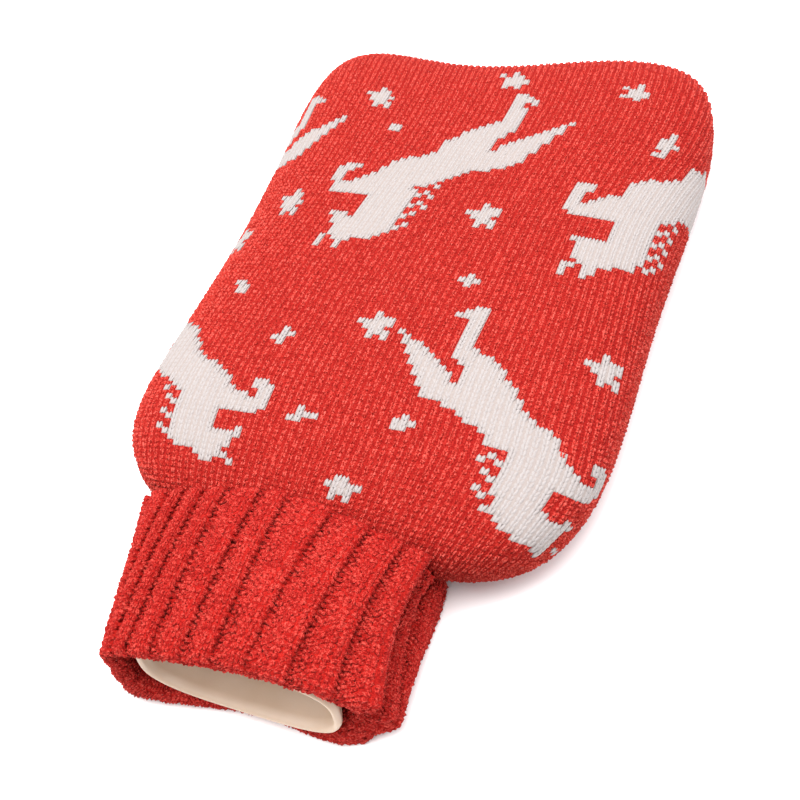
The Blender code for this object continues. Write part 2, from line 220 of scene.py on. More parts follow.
def shell_faces(kept, flip=False):
    """Quads of a thin closed shell over a grid's kept cells: outside, inside and walls between.

    The outside takes the first set of grid points and the inside the second. A wall is made where
    a kept cell has no kept neighbour.
    """
    columns = kept.shape[1] + 1
    layer = (kept.shape[0] + 1) * columns       # points in one set
    i, j = np.nonzero(kept)
    first = i * columns + j
    corners = np.stack([first, first + columns, first + columns + 1, first + 1], -1)
    inside = corners[:, ::-1] + layer
    edges = np.concatenate([corners[:, [k, (k + 1) % 4]] for k in range(4)])
    key = edges[:, 0].astype(np.int64) * layer + edges[:, 1]
    other = edges[:, 1].astype(np.int64) * layer + edges[:, 0]
    rim = edges[~np.isin(key, other)]
    walls = np.stack([rim[:, 1], rim[:, 0], rim[:, 0] + layer, rim[:, 1] + layer], -1)
    faces = np.concatenate([corners, inside, walls])
    return faces[:, ::-1] if flip else faces


def between(a, b, c, d, t):
    """The smooth cubic from b to c at t, its slopes there half the steps from a to c and b to d."""
    return 0.5 * (2 * b + (c - a) * t + (2 * a - 5 * b + 4 * c - d) * t**2
                  + (3 * b - a - 3 * c + d) * t**3)


def through(values, turn):
    """Smooth curve through rows of values, one unit of turn apart, straight on at its ends."""
    values = np.asarray(values, float)
    values = np.concatenate([2 * values[:1] - values[1:2], values, 2 * values[-1:] - values[-2:-1]])
    i = np.clip(np.floor(turn).astype(int), 0, len(values) - 4)
    return between(*(values[i + k] for k in range(4)), (turn - i)[:, None])


# Rings of the neck and funnel, from the body out to the rim and back down the inside, in mm
#    place                 y   middle x  middle z  half width  half height  squareness
FUNNEL = (
    ("in the body",     -118.0,  -3.0,    20.8,      24.0,        8.4,      2.2),
    ("neck",            -150.0,  -3.0,    20.8,      19.0,        8.4,      2.2),
    ("funnel's foot",   -167.0,  -3.0,    21.8,      20.0,        9.6,      2.3),
    ("flare",           -184.0,  -3.8,    22.6,      29.5,       12.0,      2.7),
    ("under the rim",   -196.0,  -4.5,    22.9,      37.6,       14.4,      3.1),
    ("bead's back",     -199.2,  -4.5,    22.9,      39.2,       15.0,      3.2),
    ("bead's side",     -201.4,  -4.6,    22.8,      40.1,       15.4,      3.2),
    ("bead's front",    -203.6,  -4.6,    22.8,      39.2,       14.4,      3.2),
    ("bead's inside",   -203.0,  -4.6,    22.8,      37.8,       13.1,      3.2),
    ("step",            -200.6,  -4.6,    22.9,      37.2,       12.7,      3.1),
    ("inner wall",      -196.0,  -4.5,    22.9,      35.6,       12.4,      3.1),
    ("inner flare",     -184.0,  -3.8,    22.6,      27.0,        9.6,      2.7),
    ("funnel's floor",  -171.0,  -3.0,    22.0,      14.0,        7.4,      2.2),
    ("bore's mouth",    -169.0,  -3.0,    21.8,       6.3,        6.3,      2.0),
    ("bore's end",      -150.0,  -3.0,    20.8,       6.3,        6.3,      2.0),
)
RIM_LEAN = 0.18             # the rim's lower side stands further out than its upper side
LEAN_START, LEAN_LENGTH = -170.0, 30.0      # the lean sets in at this y and grows over this length
FUNNEL_SIDES = 160
FUNNEL_STEPS = 6            # rings between two rows of the table


def squared_ring(angle, middle_x, middle_z, half_width, half_height, power):
    """Places x and z round a superellipse: at a bearing its reach is
    (|cos / half width|^power + |sin / half height|^power)^(-1/power).
    """
    c, s = np.cos(angle), np.sin(angle)
    reach = (np.abs(c / half_width) ** power + np.abs(s / half_height) ** power) ** (-1 / power)
    return middle_x + reach * c, middle_z + reach * s


def funnel_mesh():
    """Squared rings along the table's smooth curve, with both ends closed."""
    turn = np.linspace(0, len(FUNNEL) - 1, (len(FUNNEL) - 1) * FUNNEL_STEPS + 1)
    table = through([row[1:] for row in FUNNEL], turn)
    y, middle_x, middle_z, half_width, half_height, power = (table[:, k, None] for k in range(6))
    angle = np.linspace(0, 2 * math.pi, FUNNEL_SIDES, endpoint=False)
    x, z = squared_ring(angle, middle_x, middle_z, half_width, half_height, power)
    lean = RIM_LEAN * (z - middle_z) * np.clip((LEAN_START - y) / LEAN_LENGTH, 0, 1)
    rings = np.stack([x, y + lean, z], -1)
    ends = [rings[0].mean(0), rings[-1].mean(0)]
    points = np.concatenate([rings.reshape(-1, 3), ends])
    k = np.arange(len(rings) - 1)[:, None] * FUNNEL_SIDES
    i = np.arange(FUNNEL_SIDES)[None]
    n = (i + 1) % FUNNEL_SIDES
    walls = np.stack([k + i, k + FUNNEL_SIDES + i, k + FUNNEL_SIDES + n, k + n], -1).reshape(-1, 4)
    triangles = np.concatenate([walls[:, [0, 1, 2]], walls[:, [0, 2, 3]]])
    base = (len(rings) - 1) * FUNNEL_SIDES
    middle = np.full_like(i, len(rings) * FUNNEL_SIDES)
    start = np.stack([i, n, middle], -1).reshape(-1, 3)
    end = np.stack([base + n, base + i, middle + 1], -1).reshape(-1, 3)
    return make_mesh("bottle_funnel", placed(points), np.concatenate([triangles, start, end]))


def body_mesh():
    """The bottle's body: the cover's two faces, moved in by the cloth's thickness and a clearance.

    The grid's lines lie at sin(turn), closer together towards the seam, and its square outline is
    drawn in to a superellipse.
    """
    inset = PANEL_THICKNESS + BOTTLE_CLEARANCE
    points = []
    lines = np.sin(np.linspace(-1, 1, BODY_LINES) * math.pi / 2)
    a, b = np.abs(lines)[:, None], np.abs(lines)[None]
    reach = np.maximum(a, b) + 1e-9
    norm = np.maximum(outline(a, b, OUTLINE_POWER), 1e-9)
    for top in (True, False):
        s, t = np.meshgrid(lines * seam_arc(SECTION_ACROSS, top),
                           lines * seam_arc(SECTION_ALONG, top), indexing="ij")
        face = cover_point(s * reach / norm, t * reach / norm, top)[0]
        normal = normals_of(face) * (1 if top else -1)
        # At a corner the grid's two directions fall together: it takes its inner neighbour's normal
        normal[(0, 0, -1, -1), (0, -1, 0, -1)] = normal[(1, 1, -2, -2), (1, -2, 1, -2)]
        points.append(face - inset * normal)
    kept = np.ones((BODY_LINES - 1, BODY_LINES - 1), bool)
    joined = np.concatenate([p.reshape(-1, 3) for p in points])
    return make_mesh("bottle_body", placed(joined), shell_faces(kept))


BLOOM_SCALE = 60.0          # clouds of bloom to a metre, 17 mm each
GRAIN_SCALE = 1500.0        # grains to a metre, 0.7 mm each: coarser than real, so that they show


def new_material(name):
    """A new material, its node tree and its surface node."""
    made = bpy.data.materials.new(name)
    made.use_nodes = True
    return made, made.node_tree, made.node_tree.nodes["Principled BSDF"]


def rubber_material():
    """Natural rubber, moulded and vulcanised.

    It gives a cream-tan satin with a soft, wide highlight, and a little light passes through it.
    """
    made, tree, surface = new_material("natural_rubber_moulded")
    place = add_node(tree, "ShaderNodeTexCoord").outputs["Object"]
    bloom = add_node(tree, "ShaderNodeTexNoise", [(place, "Vector")], i2=BLOOM_SCALE, i3=3.0)
    grain = add_node(tree, "ShaderNodeTexNoise", [(place, "Vector")], i2=GRAIN_SCALE, i3=2.0)
    tint = add_node(tree, "ShaderNodeValToRGB", [(bloom.outputs[0], 0)])
    tint.color_ramp.elements[0].color = linear("b09984")
    tint.color_ramp.elements[0].position = 0.35
    tint.color_ramp.elements[1].color = linear("b6a08d")
    tint.color_ramp.elements[1].position = 0.65
    bump = add_node(tree, "ShaderNodeBump", [(grain.outputs[0], "Height")])
    bump.inputs["Strength"].default_value = 0.12
    bump.inputs["Distance"].default_value = 0.0002      # m
    tree.links.new(tint.outputs[0], surface.inputs["Base Color"])
    tree.links.new(bump.outputs[0], surface.inputs["Normal"])
    surface.inputs["Roughness"].default_value = 0.42
    surface.inputs["IOR"].default_value = 1.52
    surface.inputs["Subsurface Weight"].default_value = 0.15
    surface.inputs["Subsurface Radius"].default_value = (1.0, 0.6, 0.35)
    surface.inputs["Subsurface Scale"].default_value = 0.002        # m, the skin's thickness
    return made


rubber = rubber_material()
add_piece("bottle_body", body_mesh(), rubber, "natural_rubber")
add_piece("bottle_funnel", funnel_mesh(), rubber, "natural_rubber", "bottle")


# The front and back panels: fine stocking stitch in chenille, each stitch wider than it is tall.
# A stitch shows as a V of two soft legs, and its point looks towards the bottle's mouth. The front
# has leaping horses and stars in a smoother cream yarn, knitted in stitch by stitch.

WALE = 3.28             # mm between two columns of stitches
ROW = 2.3               # mm between two rows
SPARE_COLUMNS = 5       # past the panel's sides, for the sway to bring on to it
SPARE_ROWS = 1
BACKING = 2.1           # mm thickness of the cloth behind the raised stitches
BACKING_SINK = 0.42     # mm that its face lies under the cover's outer face
CREAM_SINK = 0.02       # the same, inside the cream figures
SEAM_MARGIN = 0.15      # mm of cloth left out on each side of the seam
STEP = 1.0              # mm between the grid points that a panel's shape is read from
PAST_SEAM = 3           # mm that this grid goes on past the seam

# Columns sway over the stuffed body, spread where it is full and draw in towards the neck
#        t   shift  spread, in mm and as a share of the width, every 25 mm
SWAY = ((-155,  -7.5, -0.12),
        (-130,  -6.5, -0.01),
        (-105,  -6.3,  0.06),
        (-80,   -6.6,  0.05),
        (-55,   -5.1,  0.02),
        (-30,   -3.1, -0.01),
        (-5,    -0.6, -0.05),
        (20,     2.4, -0.08),
        (45,     5.5, -0.07),
        (70,     8.4, -0.04),
        (95,     9.6, -0.02),
        (120,    8.3,  0.00),
        (145,    5.5,  0.01),
        (170,    3.0,  0.01))

# Outside of the neck's inner layer, where the panels stop: left, right, bottom, top, squareness
NECKLINE = (-58.0, 34.0, 7.2, 34.2, 3.2)
NECKLINE_Y = -114.0
NECKLINE_EDGE = 0.86    # how far in the panels reach, in the neckline's own measure

# One leaping horse in tapering strokes, mm from its chest: it springs towards -t and to the left
#    part             from s,  t, radius   to s,  t, radius
HORSE = (
    ("croup",          1.5, 52.0, 11.6,   -1.0, 50.0, 11.6),
    ("barrel",         2.0, 45.0,  9.6,  -24.0, 31.0, 10.4),
    ("neck",         -24.0, 27.0, 10.4,  -25.0,  4.0,  9.8),
    ("head",         -25.0,  1.0,  9.2,  -38.0, -5.0,  6.8),
    ("muzzle",       -40.0, -2.0,  5.4,  -46.0,  3.0,  2.4),
    ("chin",         -37.0,-10.0,  4.0,  -38.0,-15.0,  1.4),
    ("forelock",     -45.5,-10.5,  1.5,  -48.5,-14.5,  1.5),
    ("forearm",      -32.0, 24.0,  7.6,  -50.0, 18.0,  3.2),
    ("knee",         -53.0, 20.0,  3.0,  -53.0, 29.0,  3.2),
    ("front hoof",   -52.0, 31.0,  2.6,  -47.0, 33.0,  1.9),
    ("thigh",          4.0, 60.0,  8.6,   15.0, 70.0,  4.8),
    ("shank",         17.0, 70.0,  3.5,   17.0, 94.0,  3.5),
    ("hind hoof",     18.0, 93.5,  2.8,   23.5, 90.0,  1.9),
    ("dock",           6.0, 44.0,  6.2,   22.0, 48.5,  6.4),
    ("tail",          24.0, 53.0,  7.8,   45.0, 75.0,  1.0),
)
# Its mane is single stitches in a band behind the neck: s, t and radius at the band's two ends
MANE = ((-8.0, 27.0, 4.4), (-13.0, 0.0, 4.8))
#    where s, t, how much its rows close up, mirrored
HORSES = (
    (0.0, 0.0, 1.0, False),
    (111.0, 3.0, 1.0, False),
    (-113.0, -2.0, 0.9, False),
    (55.0, -122.0, 0.88, True),
    (-89.5, -117.5, 0.78, True),
)
# Stars, charted stitch by stitch
BIG_STAR = (
    "..#..",
    "..###",
    "#####",
    ".###.",
    "..###",
    "..#.#",
)
FAR_STAR = (
    "..#..",
    "#.#..",
    "#.##.",
    ".###.",
    ".####",
    ".####",
    ".###.",
    ".#.#.",
)
LONG_STAR = (
    "..#..",
    "..##.",
    "####.",
    ".####",
    ".###.",
    "..###",
    "..#.#",
)
SIDE_STAR = (
    "..#.",
    "#.#.",
    ".##.",
    ".###",
    "####",
    "..#.",
)
NEAR_STAR = (
    ".##..",
    "#####",
    ".###.",
    ".#.#.",
)
TALL_STAR = (
    ".#.",
    ".#.",
    "##.",
    "###",
    "##.",
    ".#.",
    "##.",
)
SMALL_STAR = (
    ".#.",
    "###",
    ".#.",
)
LEANING_STAR = (
    "##.",
    ".##",
    ".##",
)
TURNED_STAR = (
    ".#.",
    ".##",
    "##.",
    ".#.",
)
ARMED_STAR = (
    ".#..",
    ".###",
    "##..",
)
ROUND_STAR = (
    ".#.",
    "###",
    "##.",
)
SPARK = (
    "##",
    "##",
)
#    s     t    chart
STARS = (
    (7.4, 110.4, FAR_STAR),
    (67.7, 101.2, SIDE_STAR),
    (-56.0, 83.9, LONG_STAR),
    (-73.9, 8.0, LONG_STAR),
    (21.1, 11.5, BIG_STAR),
    (-3.4, -55.2, BIG_STAR),
    (93.5, -52.9, BIG_STAR),
    (11.5, -128.8, NEAR_STAR),
    (-97.0, -13.0, BIG_STAR),
    (-39.0, 62.0, SPARK),
    (88.3, 67.8, TALL_STAR),
    (28.0, -24.1, SMALL_STAR),
    (-75.1, -42.5, LEANING_STAR),
    (-41.6, -66.7, TURNED_STAR),
    (-16.8, -102.3, ARMED_STAR),
    (26.7, -97.7, ROUND_STAR),
)


def sway(s, t):
    """Sideways shift of a column: the table's shift plus its spread times the place across."""
    places, shifts, spreads = np.array(SWAY).T
    turn = np.ravel((t - places[0]) / (places[1] - places[0]))
    shift, spread = through(np.stack([shifts, spreads], 1), turn).T.reshape(2, *np.shape(t))
    return shift + spread * s


def column_at(s, t):
    """The column that the sway brings to s."""
    shift = sway(0.0 * s, t)
    return (s - shift) / (1 + sway(0.0 * s + 1, t) - shift)


def in_strokes(s, t, strokes, mirrored):
    """Whether a point lies in a tapering stroke: nearer to its line than the radius there."""
    s = -s if mirrored else s
    found = np.zeros(np.shape(s), bool)
    for s0, t0, r0, s1, t1, r1 in strokes:
        along = ((s - s0) * (s1 - s0) + (t - t0) * (t1 - t0)) / ((s1 - s0) ** 2 + (t1 - t0) ** 2)
        along = np.clip(along, 0, 1)
        apart = np.hypot(s - s0 - along * (s1 - s0), t - t0 - along * (t1 - t0))
        found |= apart < r0 + along * (r1 - r0)
    return found


def cream_stitches(wales, rows, s, t):
    """True where the chart calls for cream: strokes, mane and stars, for every stitch of the front.

    A hair of the mane is set every third row, half a step on in each second column.
    """
    found = np.zeros(s.shape, bool)
    hairs = (2 * rows + 3 * (wales % 2)) % 6 < 2
    for at_s, at_t, close, mirrored in HORSES:
        from_s, from_t = s - at_s, (t - at_t) / close
        found |= in_strokes(from_s, from_t, [row[1:] for row in HORSE], mirrored)
        found |= in_strokes(from_s, from_t, [(*MANE[0], *MANE[1])], mirrored) & hairs
    for at_s, at_t, chart in STARS:
        cells = np.array([[mark == "#" for mark in line] for line in chart])
        height, width = cells.shape
        column = column_at(np.array(at_s), np.array(at_t)) / WALE
        i = wales - int(round(float(column) - width / 2))
        j = int(round(at_t / ROW + height / 2 - 1)) - rows
        inside = (i >= 0) & (i < width) & (j >= 0) & (j < height)
        found |= inside & cells[np.clip(j, 0, height - 1), np.clip(i, 0, width - 1)]
    return found


def panel_face(top):
    """Grid of points and outward normals over one panel's outer face, STEP apart in flat cloth."""
    across = math.ceil(seam_arc(SECTION_ACROSS, top)) + PAST_SEAM
    along = math.ceil(seam_arc(SECTION_ALONG, top)) + PAST_SEAM
    s, t = np.meshgrid(np.arange(-across, across + STEP, STEP),
                       np.arange(-along, along + STEP, STEP), indexing="ij")
    points, share = cover_point(s, t, top)
    return {"points": points, "normals": normals_of(points) * (1 if top else -1), "share": share,
            "limit": 1 - SEAM_MARGIN / seam_arc(SECTION_ACROSS, top),
            "start": (-across, -along), "step": (STEP, STEP), "around": False}


def read_face(face, s, t, what="points"):
    """Value of a gridded face at (s, t), linear between its four nearest grid points."""
    values = face[what]
    i = (s - face["start"][0]) / face["step"][0]
    j = (t - face["start"][1]) / face["step"][1]
    i = i % len(values) if face["around"] else np.clip(i, 0, len(values) - 1.001)
    j = np.clip(j, 0, values.shape[1] - 1.001)
    i0, j0 = np.floor(i).astype(int), np.floor(j).astype(int)
    i1 = (i0 + 1) % len(values)
    f, g = i - i0, j - j0
    if values.ndim == 3:
        f, g = f[..., None], g[..., None]
    near = values[i0, j0] * (1 - f) + values[i1, j0] * f
    far = values[i0, j0 + 1] * (1 - f) + values[i1, j0 + 1] * f
    return near * (1 - g) + far * g


def lay(face, s, t, height):
    """Points over a face: its point at (s, t) plus height times its normal."""
    return read_face(face, s, t) + height[..., None] * read_face(face, s, t, "normals")


def within_seam(face, s, t):
    """(s, t) drawn in to the seam where it lies past it, in four steps of limit / share."""
    for _ in range(4):
        shrink = face["limit"] / np.maximum(read_face(face, s, t, "share"), face["limit"])
        s, t = s * shrink, t * shrink
    return s, t


def neckline_room(points):
    """How far out a point lies from the neckline's middle: under 1 is inside its squared ring, and
    past the ring's reach along the bottle there is no limit.
    """
    left, right, bottom, top, power = NECKLINE
    x = (points[..., 0] - (left + right) / 2) / ((right - left) / 2)
    z = (points[..., 2] - (bottom + top) / 2) / ((top - bottom) / 2)
    return np.where(points[..., 1] < NECKLINE_Y, outline(x, z, power), np.inf)


def four_of(grid):
    """The four values at the corners of each cell of a grid."""
    return grid[:-1, :-1], grid[1:, :-1], grid[:-1, 1:], grid[1:, 1:]


def used_points(points, faces):
    """Drop the points that no face uses."""
    used, faces_of = np.unique(faces, return_inverse=True)
    return points[used], faces_of.reshape(faces.shape)


def backing_mesh(name, face, top, cell):
    """The cloth behind the stitches: a thin closed shell of cells that follow columns and rows.

    cell is the number of stitches along a cell's side. Gives the mesh, and for each cell whether it
    is cream. Where all the cells round a point are cream, the outer face is raised to the stitches.
    """
    across = math.ceil(seam_arc(SECTION_ACROSS, top) / WALE) + SPARE_COLUMNS
    along = math.ceil(seam_arc(SECTION_ALONG, top) / ROW) + SPARE_ROWS
    wales, rows = np.arange(-across, across + 1, cell), np.arange(-along, along + 1, cell)
    i, j = np.meshgrid(wales, rows, indexing="ij")
    t = j * ROW
    s = i * WALE + sway(i * WALE, t)
    middle_s = (s[:-1, :-1] + s[1:, 1:]) / 2
    middle_t = (t[:-1, :-1] + t[1:, 1:]) / 2
    kept = np.minimum.reduce(four_of(read_face(face, s, t, "share"))) < face["limit"]
    kept &= neckline_room(read_face(face, middle_s, middle_t)) > NECKLINE_EDGE
    s, t = within_seam(face, s, t)
    cream = cream_stitches(i[:-1, :-1], j[:-1, :-1], middle_s, middle_t) & top
    within = np.logical_and.reduce(four_of(np.pad(cream, 1)))
    outside = lay(face, s, t, -np.where(within, CREAM_SINK, BACKING_SINK))
    inside = lay(face, s, t, np.full(s.shape, -BACKING_SINK - BACKING))
    points = np.concatenate([outside.reshape(-1, 3), inside.reshape(-1, 3)])
    faces = shell_faces(kept, flip=not top)
    points, faces = used_points(points, faces)
    return make_mesh(name, placed(points), faces), cream[kept]


# Sections of the yarn: places across and up, as shares of its half width and its lift
RIDGED = ((-1.0, 0.0), (0.0, 1.0), (1.0, 0.0))
ROUNDED = ((-1.0, 0.0), (-0.66, 0.80), (0.0, 1.0), (0.66, 0.80), (1.0, 0.0))


def strand(stations, line, half, lift, sink, profile=RIDGED, taper=0.55, crest=0.7):
    """A visible piece of yarn as a closed leaf: rings of one profile along a line, ends pointed.

    line gives its middle in mm across and along at shares of its length. At a share its half width
    is half * sin(pi * share)^taper, and its ridge stands lift * sin(pi * share)^crest over sink.
    """
    share = np.linspace(0, 1, stations + 2)
    middle = np.stack(line(share), -1)
    ahead = np.gradient(middle, axis=0)
    ahead /= np.linalg.norm(ahead, axis=1, keepdims=True)
    side = np.stack([ahead[:, 1], -ahead[:, 0]], -1)
    bulge = np.sin(math.pi * share)[:, None]
    rings = np.stack([
        np.concatenate([middle + across * side * half * bulge**taper,
                        sink + up * lift * bulge**crest], 1)
        for across, up in profile], 1)[1:-1]
    ends = np.concatenate([middle[[0, -1]], [[sink], [sink]]], 1)
    points = np.concatenate([rings.reshape(-1, 3), ends])
    sides = len(profile)
    k, m = (x.ravel() for x in np.meshgrid(np.arange(stations - 1) * sides, np.arange(sides),
                                           indexing="ij"))
    a, b = k + m, k + (m + 1) % sides
    m = np.arange(sides)
    n, last = (m + 1) % sides, (stations - 1) * sides
    faces = np.concatenate([
        np.stack([a, b + sides, b], -1), np.stack([a, a + sides, b + sides], -1),
        np.stack([m, n, stations * sides + 0 * m], -1),
        np.stack([last + n, last + m, stations * sides + 1 + 0 * m], -1)])
    return points, faces


def vee(stations, lean, reach, half, lift, sink, **shape):
    """A plain stitch: one leg and its mirror image, as points, faces and the number of legs.

    The leg goes from reach[0] to reach[1] evenly and leans out from lean[0] to lean[1] as
    share^1.25.
    """
    def line(share):
        return (lean[0] + (lean[1] - lean[0]) * share**1.25,
                reach[0] + (reach[1] - reach[0]) * share)

    points, faces = strand(stations, line, half, lift, sink, **shape)
    both = np.concatenate([points, points * (-1, 1, 1)])
    return both, np.concatenate([faces, faces[:, ::-1] + len(points)]), 2


# Stitches, in mm
CHENILLE_STITCH = vee(stations=3, lean=(0.42, 0.60), reach=(-1.75, 1.85), half=0.87, lift=1.36,
                      sink=-0.94)
CREAM_STITCH = vee(stations=3, lean=(0.30, 1.04), reach=(-1.8, 2.1), half=0.77, lift=0.46,
                   sink=-0.32, profile=ROUNDED, taper=0.5, crest=0.35)
BACK_STITCH = vee(stations=2, lean=(0.28, 0.98), reach=(-1.75, 1.85), half=0.92, lift=1.35,
                  sink=-0.95)
# How uneven they are, as shares of the yarn's raggedness: a leg across and along, a point across
# and up; and the share by which a leg's height varies
LEG_ACROSS, LEG_ALONG, POINT_ACROSS, POINT_UP = 0.35, 0.5, 0.45, 0.5
LEG_HEIGHT = 0.10


def turned_over(stitch):
    """The same stitch for a face whose two directions turn the other way."""
    points, faces, legs = stitch
    return points, faces[:, ::-1], legs


def lay_stitches(name, face, stitch, s, t, random, ragged, swayed=False):
    """Every stitch of a piece at once: its template on the cloth at (s, t), each a little uneven.

    ragged is the yarn's raggedness in mm. A point attribute, tuft, gives each leg its own shade.
    """
    template, faces, legs = stitch
    count, each = len(s), len(template) // legs
    uneven = random.normal(size=(count, legs, 3)).repeat(each, 1)
    loose = random.normal(size=(count, len(template), 2))
    across = LEG_ACROSS * uneven[..., 1] + POINT_ACROSS * loose[..., 0]
    at_s = s[:, None] + template[:, 0] + ragged * across
    at_t = t[:, None] + template[:, 1] + ragged * LEG_ALONG * uneven[..., 2]
    height = template[:, 2] * (1 + LEG_HEIGHT * uneven[..., 0]) + ragged * POINT_UP * loose[..., 1]
    if swayed:
        at_s, at_t = within_seam(face, at_s + sway(at_s, at_t), at_t)
    points = lay(face, at_s, at_t, height)
    points[..., 2] = np.maximum(points[..., 2], 0)
    faces = (faces[None] + np.arange(count)[:, None, None] * len(template)).reshape(-1, 3)
    mesh = make_mesh(name, placed(points.reshape(-1, 3)), faces)
    shade = random.uniform(0, 1, (count, legs)).repeat(each, 1).astype(np.float32)
    mesh.attributes.new("tuft", "FLOAT", "POINT").data.foreach_set("value", shade.ravel())
    return mesh


PATCH_TUFTS = 2.2       # tufts across a patch of one shade
SPECKS = 1.5            # to a tuft: single fibres are far finer, and would not show
# How much of the shade's wander comes from the specks, the patches and the leg of the stitch
SPECK_SHARE, PATCH_SHARE, LEG_SHARE = 0.74, 0.19, 0.07
DEEP_END, LIGHT_END = 0.36, 0.64        # where the wander reaches the deep and the light shade


def yarn_material(name, deep, middle, light, roughness, sheen, pile, nap):
    """Knitting yarn: its shade wanders from tuft to tuft, and fine fibres stand up into the light.

    pile is the size of its tufts in mm and nap how far they stand up, 0 to 1. The chenille has a
    deep pile of 1 mm and scatters light in all directions; the cream yarn is spun smooth.
    """
    made, tree, surface = new_material(name)
    place = add_node(tree, "ShaderNodeTexCoord").outputs["Object"]
    tuft = add_node(tree, "ShaderNodeAttribute", attribute_name="tuft").outputs["Fac"]
    coarse = add_node(tree, "ShaderNodeTexNoise", [(place, "Vector")],
                      i2=1000 / pile / PATCH_TUFTS, i3=1.0, i4=0.6)
    fine = add_node(tree, "ShaderNodeTexNoise", [(place, "Vector")],
                    i2=1000 / pile * SPECKS, i3=1.0, i4=0.7)
    speck = add_node(tree, "ShaderNodeMath", [(fine.outputs[0], 0)],
                     operation="MULTIPLY", i1=SPECK_SHARE)
    patch = add_node(tree, "ShaderNodeMath", [(coarse.outputs[0], 0), (speck.outputs[0], 2)],
                     operation="MULTIPLY_ADD", i1=PATCH_SHARE)
    wander = add_node(tree, "ShaderNodeMath", [(tuft, 0), (patch.outputs[0], 2)],
                      operation="MULTIPLY_ADD", i1=LEG_SHARE)
    ramp = add_node(tree, "ShaderNodeValToRGB", [(wander.outputs[0], 0)])
    ramp.color_ramp.elements[0].color = linear(deep)
    ramp.color_ramp.elements[0].position = DEEP_END
    ramp.color_ramp.elements[1].color = linear(light)
    ramp.color_ramp.elements[1].position = LIGHT_END
    ramp.color_ramp.elements.new(0.5).color = linear(middle)
    bump = add_node(tree, "ShaderNodeBump", [(fine.outputs[0], "Height")])
    bump.inputs["Strength"].default_value = nap
    bump.inputs["Distance"].default_value = 0.0008 * pile       # m
    tree.links.new(ramp.outputs[0], surface.inputs["Base Color"])
    tree.links.new(bump.outputs[0], surface.inputs["Normal"])
    surface.inputs["Roughness"].default_value = roughness
    surface.inputs["Specular IOR Level"].default_value = 0.15
    surface.inputs["Sheen Weight"].default_value = sheen
    surface.inputs["Sheen Roughness"].default_value = 0.5
    surface.inputs["Sheen Tint"].default_value = linear(light)
    return made


# Red chenille, brushed: a velvety red whose raised tufts catch a paler light. Behind the stitches the
# same yarn is painted deeper and flatter, as painted shade for the shade it lies in. Cream yarn, spun
# smooth: an even, matt off-white, and behind the stitches the same, painted a little darker as shade.
red_chenille = yarn_material("red_chenille_yarn", "86100a", "ad2920", "d25b50", 0.9, 0.28, 1.0, 1.0)
red_painted_shade = yarn_material("red_chenille_painted_shade", "7c0b08", "911711", "a02720", 0.95, 0.1, 1.0, 1.0)
cream_yarn = yarn_material("cream_spun_yarn", "938a88", "98918f", "9d9695", 0.8, 0.15, 0.6, 0.25)
cream_painted_shade = yarn_material("cream_yarn_painted_shade", "8f8480", "928884", "968d89",
                             0.95, 0.1, 0.8, 0.25)


def knit_panel(top):
    """One panel: its backing, then its stitches in pieces by yarn and by half."""
    side = "front" if top else "back"
    random = np.random.default_rng(11 if top else 12)
    face = panel_face(top)
    mesh, cream = backing_mesh(side + "_backing", face, top, 1 if top else 2)
    # The backing takes its yarns' darker copies: painted shade between the stitches
    backing = add_piece(side + "_backing", mesh, red_painted_shade, "chenille_yarn", side + "_panel")
    mesh.materials.append(cream_painted_shade)
    index = np.zeros(len(mesh.polygons), np.int32)
    index[:len(cream)] = cream          # the outer faces come first, one to a cell
    mesh.polygons.foreach_set("material_index", index)
    width, length = seam_arc(SECTION_ACROSS, top), seam_arc(SECTION_ALONG, top)
    across = math.ceil(width / WALE) + SPARE_COLUMNS + 1
    along = math.ceil(length / ROW) + SPARE_ROWS
    i, j = (k.ravel() for k in np.meshgrid(np.arange(-across, across), np.arange(-along, along),
                                           indexing="ij"))
    flat_s, flat_t = (i + 0.5) * WALE, (j + 0.5) * ROW
    on_cloth = flat_s + sway(flat_s, flat_t)
    share = read_face(face, on_cloth, flat_t, "share")
    kept = (share < 1) & (neckline_room(read_face(face, on_cloth, flat_t)) > NECKLINE_EDGE)
    i, j, flat_s, flat_t, on_cloth = (k[kept] for k in (i, j, flat_s, flat_t, on_cloth))
    # Name, which stitches, their form, their yarn and its raggedness in mm
    if top:
        cream = cream_stitches(i, j, on_cloth, flat_t)
        groups = (("cream_stitches", cream, CREAM_STITCH, cream_yarn, 0.14),
                  ("red_stitches_far", ~cream & (flat_t >= 0), CHENILLE_STITCH, red_chenille, 0.26),
                  ("red_stitches_near", ~cream & (flat_t < 0), CHENILLE_STITCH, red_chenille, 0.26))
    else:
        groups = (("red_stitches_far", flat_t >= 0, BACK_STITCH, red_chenille, 0.3),
                  ("red_stitches_near", flat_t < 0, BACK_STITCH, red_chenille, 0.3))
    for name, chosen, shape, finish, ragged in groups:
        stitch = shape if top else turned_over(shape)
        mesh = lay_stitches(f"{side}_{name}", face, stitch, flat_s[chosen], flat_t[chosen], random,
                            ragged, swayed=True)
        add_piece(f"{side}_{name}", mesh, finish, "chenille_yarn")


knit_panel(True)
knit_panel(False)


# The polo neck: a ribbed tube, two plain columns then two purl columns, in the same chenille yarn.
# It is knitted on to the panels, drawn over the bottle's neck and turned back down at the mouth, so
# it lies double. Its free edge rests on the shoulders, and it is pushed into pleats on the right.

RIB_PITCH = 11.2        # mm from rib to rib
RIB_HEIGHT = 2.4
